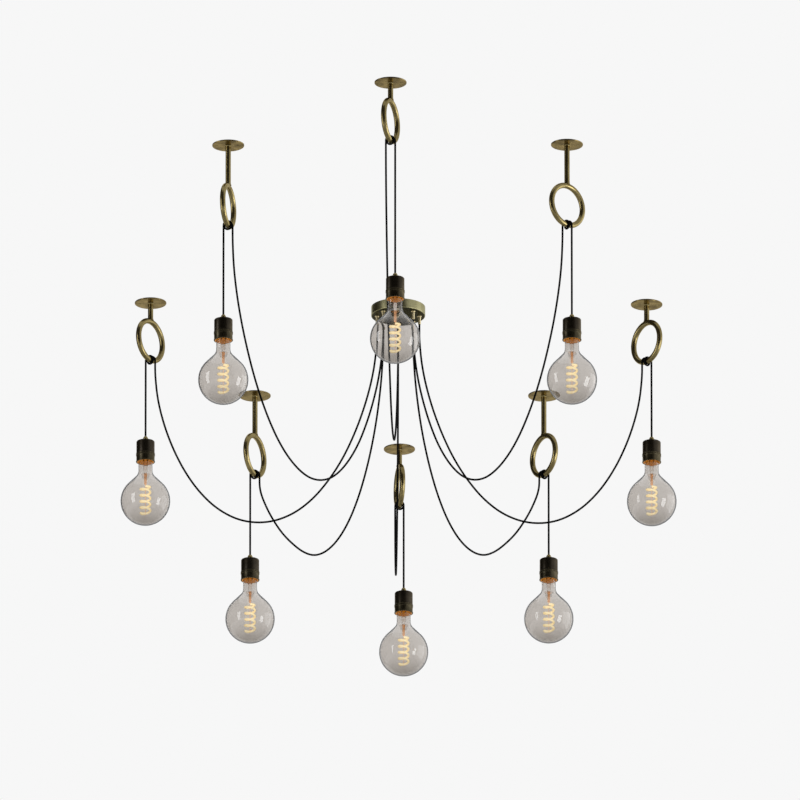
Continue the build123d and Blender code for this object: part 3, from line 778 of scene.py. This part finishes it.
def glowing(name, dim, bright, painted_rim, strength, size):
    """A glowing piece, its colour uneven between two tones, with a painted dark rim where it is seen edge-on.
    """
    made, tree, shader = new_material(name)
    place = node(tree, "ShaderNodeTexCoord").outputs["Object"]
    noise = node(tree, "ShaderNodeTexNoise", {"Vector": place, "Scale": 1 / size, "Detail": 2.0})
    facing = node(tree, "ShaderNodeLayerWeight", {"Blend": 0.35}).outputs["Facing"]
    # The rim colour where the surface is seen edge-on is painted shade.
    tone = blended(tree, facing, blended(tree, noise.outputs["Fac"], dim, bright), painted_rim)
    tree.links.new(tone, shader.inputs["Emission Color"])
    shader.inputs["Base Color"].default_value = (*painted_rim, 1)
    shader.inputs["Emission Strength"].default_value = strength
    shader.inputs["Roughness"].default_value = 0.5
    return made


# The lampholder's mouth glows amber as painted glow of the bulb's light; it is no lamp.
mouth_painted_glow = glowing("mouth with painted glow", (0.58, 0.19, 0.015), (0.90, 0.38, 0.04), (0.24, 0.08, 0.01), 0.8, 0.012)
for lamp in lamps:
    low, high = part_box(f"lampholder_shell_{lamp}")
    place = ((low.x + high.x) / 2, (low.y + high.y) / 2, high.z - grip_height)
    body = f"pendant_{lamp}"
    shell = [f"lampholder_shell_{lamp}"]
    finished(f"lampholder_cup_{lamp}", turned(cup_outline, place), dark_bronze, body, shell)
    collar_mesh = turned(collar_outline, place)
    collar = finished(f"lampholder_collar_{lamp}", collar_mesh, worn_bronze, body, shell)
    collar.data.materials.append(mouth_painted_glow)
    axis = Vector(place[:2])
    # Faces inside the collar's mouth take the painted glow.
    for face in collar.data.polygons:
        if face.center.z < place[2] - lit_below and (face.center.xy - axis).length < lit_edge:
            face.material_index = 1
    grip = turned(grip_outline, place, steps=48)
    finished(f"cord_grip_{lamp}", grip, olive_brass, body, shell)
    # The porcelain insert is shown wholly in the painted glow.
    core = f"lampholder_core_{lamp}"
    finished(f"lampholder_insert_{lamp}", copied(core), mouth_painted_glow, body, [core])

# Globe bulbs
# Each bulb is a lightly smoked blown globe with a conical shoulder and a plain neck, cemented into a brass
# screw cap. A glass stem and a wire inside carry the glowing spiral of the filament.
globe, globe_drop, wall = 0.0625, 0.160, 0.00005
shoulder, neck, neck_round, neck_top = 44, 0.0175, 0.025, -0.0460
cap_radius, cap_root, cap_top, cap_foot, cap_skirt = 0.0130, 0.0122, -0.0108, -0.0380, -0.0345
contact, threads, thread_pitch, thread_top = 0.0045, 6, 0.0030, cap_top - 0.0085
coil_radius, coil_pitch, coil_turns, coil_top, filament_radius = 0.0125, 0.0164, 4.5, 0.040, 0.0028
stem_radius, stem_foot, sleeve_length, support_radius = 0.0033, -0.1150, 0.014, 0.0006
wire_foot = -globe_drop + coil_top - coil_turns * coil_pitch - 0.0041


def tinted_glass(name, smoke, foot, painted_rim):
    """Clear glass with a faintly uneven tint, darker towards its foot, and a painted dark rim where the eye
    looks along its wall.
    """
    made, tree, shader = new_material(name)
    glass_index, rim_index, unevenness = 1.45, 1.02, 0.03
    foot_start, foot_end, rim_start, rim_end = 0.10, 0.01, 0.66, 0.90
    place = node(tree, "ShaderNodeTexCoord").outputs["Object"]
    noise = node(tree, "ShaderNodeTexNoise", {"Vector": place, "Scale": 14.0, "Detail": 1.0})
    tint = blended(tree, noise.outputs["Fac"], smoke, [channel + unevenness for channel in smoke])
    along = node(tree, "ShaderNodeSeparateXYZ", {0: node(tree, "ShaderNodeUVMap").outputs["UV"]})
    low = ranged(tree, along.outputs["Y"], foot_start, foot_end, interpolation_type="SMOOTHSTEP")
    facing = node(tree, "ShaderNodeLayerWeight", {"Blend": 0.5}).outputs["Facing"]
    edge = ranged(tree, facing, rim_start, rim_end, interpolation_type="SMOOTHSTEP")
    # The rim colour is painted shade at the outline, where the wall is seen edge-on.
    shade = blended(tree, edge, blended(tree, low, tint, foot), painted_rim)
    tree.links.new(shade, shader.inputs["Base Color"])
    tree.links.new(ranged(tree, edge, 0.0, 1.0, glass_index, rim_index), shader.inputs["IOR"])
    shader.inputs["Roughness"].default_value = 0.0
    shader.inputs["Transmission Weight"].default_value = 1.0
    return made


glass = tinted_glass("smoked glass", (0.722, 0.695, 0.668), (0.32, 0.295, 0.265), (0.40, 0.33, 0.27))
stem_glass = tinted_glass("clear glass", (0.93, 0.91, 0.89), (0.93, 0.86, 0.80), (0.6, 0.5, 0.4))
filament_glow = glowing("filament glow", (0.94, 0.76, 0.37), (1.0, 1.0, 0.80), (0.44, 0.29, 0.08), 1.2, 0.006)
# The stem's amber tone is its own; its emission is painted glow from the filament.
stem_painted_glow = glowing("amber stem with painted glow", (0.85, 0.42, 0.20), (0.95, 0.58, 0.34), (0.60, 0.30, 0.14), 0.5, 0.02)


def globe_outline(inset):
    """Half outline of the glass at a depth inside it, from the foot of the globe up to the cap."""
    radius = globe - inset
    arc = [
        (radius * math.sin(math.radians(angle)), -globe_drop - radius * math.cos(math.radians(angle)), 0)
        for angle in range(0, 91 + shoulder, 2)
    ]
    side = neck - inset
    corner = arc[-1][1] + (arc[-1][0] - side) / math.tan(math.radians(shoulder))
    return [
        *arc,
        (side, corner, neck_round + inset),
        (side, neck_top, 0.003),
        (cap_radius - inset, cap_foot, 0),
    ]


glass_outline = globe_outline(0) + globe_outline(wall)[::-1]
cap_outline = [
    (0.0, cap_top, 0),
    (contact, cap_top, 0.0006),
    (contact, cap_top - 0.0018, 0),
    (cap_root, cap_top - 0.0062, 0.001),
]
for thread in range(threads):
    crest = thread_top - thread_pitch * thread
    cap_outline += [(cap_radius, crest, 0.0006), (cap_root, crest - thread_pitch / 2, 0.0006)]
cap_outline += [(cap_radius, cap_skirt, 0.0005), (cap_radius, cap_foot, 0), (0.0, cap_foot, 0)]
stem_outline = [
    (0.0, cap_foot, 0),
    (0.0118, cap_foot, 0),
    (0.0062, -0.0520, 0.008),
    (0.0036, -0.0900, 0.010),
    (stem_radius, stem_foot + sleeve_length, 0.001),
    (0.0, stem_foot + sleeve_length, 0),
]
wire_outline = [
    (0.0, -0.0860, 0),
    (0.0026, -0.0865, 0.0004),
    (0.0030, -0.1010, 0),
    (stem_radius, -0.1012, 0),
    (stem_radius, stem_foot, 0.001),
    (support_radius, stem_foot - 0.001, 0),
    (support_radius, wire_foot, 0.0003),
    (0.0, wire_foot, 0),
]
inner_pieces = {
    "bulb_cap": (cap_outline, 64, bright_brass, "bright_brass"),
    "bulb_stem": (stem_outline, 48, stem_glass, "smoked_glass"),
    "support_wire": (wire_outline, 32, stem_painted_glow, "bright_brass"),
}


def coil_route(middle):
    """Control points of a filament: out from the wire, down the spiral and back to the wire."""
    steps, lead_steps, lead_drop = 16, 2, 0.001
    top = middle + up * (coil_top - globe_drop)
    foot = top - up * coil_pitch * coil_turns
    turns = [step / steps for step in range(lead_steps, int(coil_turns * steps) - lead_steps + 1)]
    spiral = [
        top
        + Vector((math.cos(2 * math.pi * turn), math.sin(2 * math.pi * turn), 0)) * coil_radius
        - up * coil_pitch * turn
        for turn in turns
    ]
    part_way = Vector((coil_radius * 0.6, 0, 0))
    way_out = Vector((coil_radius, coil_radius * 0.3, -lead_drop))
    return [top, top + part_way, top + way_out, *spiral, foot - way_out, foot - part_way, foot]


for lamp in lamps:
    low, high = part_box(f"bulb_glass_{lamp}")
    middle = Vector(((low.x + high.x) / 2, (low.y + high.y) / 2, low.z + globe + globe_drop))
    body = f"bulb_{lamp}"
    core = [f"bulb_core_{lamp}"]
    globe_mesh = turned(glass_outline, middle, steps=128)
    finished(f"globe_{lamp}", globe_mesh, glass, body, [f"bulb_glass_{lamp}"])
    for name, (outline, steps, finish, slot) in inner_pieces.items():
        inner_mesh = turned(outline, middle, closed=False, steps=steps)
        finished(f"{name}_{lamp}", inner_mesh, finish, body, core)
    spiral, _ = smooth_tube(coil_route(middle), filament_radius, filament_glow, resolution=4)
    finished(f"filament_{lamp}", spiral, filament_glow, body, core)


# Room
# A pale floor far below and a pale backdrop. A soft light panel on either side, a wide one at the right that
# only metal and glass show, and a bent dark screen from the left round to the front shape the metal. The
# camera is far off and below, and looks up at the lamps.
def pale_room():
    """World that is near white to the eye and in metal and glass, and lights the object at a plain level."""
    pale, seen_level, room_level = (0.93, 0.93, 0.93, 1), 1.0, 0.7
    world = bpy.data.worlds.new("pale room")
    scene.world = world
    world.use_nodes = True
    tree = world.node_tree
    tree.nodes.clear()
    path = node(tree, "ShaderNodeLightPath").outputs
    clear = reckoned(tree, "MAXIMUM", path["Is Camera Ray"], path["Is Transmission Ray"])
    seen = reckoned(tree, "MAXIMUM", clear, path["Is Glossy Ray"])
    back = node(tree, "ShaderNodeBackground", {"Color": pale, "Strength": seen_level})
    room = node(tree, "ShaderNodeBackground", {"Color": pale, "Strength": room_level})
    mix = node(tree, "ShaderNodeMixShader", {0: seen, 1: room.outputs[0], 2: back.outputs[0]})
    node(tree, "ShaderNodeOutputWorld", {"Surface": mix.outputs[0]})


def light_panel(name, place, aim, size, watts):
    """A soft rectangular light that points at a place, and isn't seen itself."""
    panel = bpy.data.lights.new(name, "AREA")
    panel.shape = "RECTANGLE"
    panel.size, panel.size_y = size
    panel.energy = watts
    lamp_object = bpy.data.objects.new(name, panel)
    turn = (Vector(aim) - Vector(place)).to_track_quat("-Z", "Y")
    lamp_object.matrix_world = Matrix.Translation(place) @ turn.to_matrix().to_4x4()
    lamp_object.visible_camera = lamp_object.visible_transmission = False
    scene.collection.objects.link(lamp_object)
    return lamp_object


def matt_cloth(name, first, second):
    """Matt material of the floor and the screen, with a hardly visible mottle."""
    made, tree, shader = new_material(name)
    age = grouped(tree, patina, cloud_size=0.5)
    tree.links.new(blended(tree, age.outputs["Cloud"], first, second), shader.inputs["Base Color"])
    shader.inputs["Roughness"].default_value = 0.9
    return made


def sheet(name, edge, rise, material):
    """A sheet of the room: its first edge, drawn along a rise."""
    mesh = bpy.data.meshes.new(name)
    far = len(edge)
    faces = [(k, k + 1, far + k + 1, far + k) for k in range(far - 1)]
    mesh.from_pydata([*edge, *[Vector(point) + Vector(rise) for point in edge]], [], faces)
    mesh.materials.append(material)
    made = bpy.data.objects.new(name, mesh)
    scene.collection.objects.link(made)
    return made


pale_room()
light_panel("right panel", place=(3.8, -2.0, -1.4), aim=(0, -0.2, -0.4), size=(1.4, 2.4), watts=72)
light_panel("left panel", place=(-3.8, -2.0, -0.3), aim=(0, -0.2, -0.4), size=(1.1, 2.6), watts=50)
pale_wall = light_panel("right wall", place=(5.0, 0.9, -0.5), aim=(0, 0, -0.4), size=(4.0, 4.0), watts=80)
pale_wall.visible_diffuse = False
pale_cloth = matt_cloth("pale floor", (0.80, 0.80, 0.79), (0.82, 0.82, 0.81))
floor_reach, floor_level = 5, -4
floor_front = [(-floor_reach, -floor_reach, floor_level), (floor_reach, -floor_reach, floor_level)]
sheet("floor", floor_front, (0, 2 * floor_reach, 0), pale_cloth)
dark_cloth = matt_cloth("dark cloth", (0.065, 0.062, 0.06), (0.085, 0.081, 0.078))
screen_radius, screen_foot, screen_height = 7, -2, 12
bends = [math.radians(angle) for angle in range(125, 306, 10)]
screen_edge = [(screen_radius * math.cos(a), screen_radius * math.sin(a), screen_foot) for a in bends]
screen = sheet("screen", screen_edge, (0, 0, screen_height), dark_cloth)
screen.visible_camera = screen.visible_diffuse = screen.visible_transmission = screen.visible_shadow = False

camera_rise, camera_distance, view_width = math.radians(20), 92.0, 2.018
aim = Vector((0.0045, 0, -0.2486))
lens = bpy.data.cameras.new("camera")
lens.sensor_width = 36
lens.lens = lens.sensor_width * camera_distance / view_width
lens.clip_end = 2 * camera_distance
camera = bpy.data.objects.new("camera", lens)
camera.location = aim - Vector((0, math.cos(camera_rise), math.sin(camera_rise))) * camera_distance
camera.rotation_euler = (math.pi / 2 + camera_rise, 0, 0)
scene.collection.objects.link(camera)
scene.camera = camera
scene.view_settings.view_transform = "Standard"
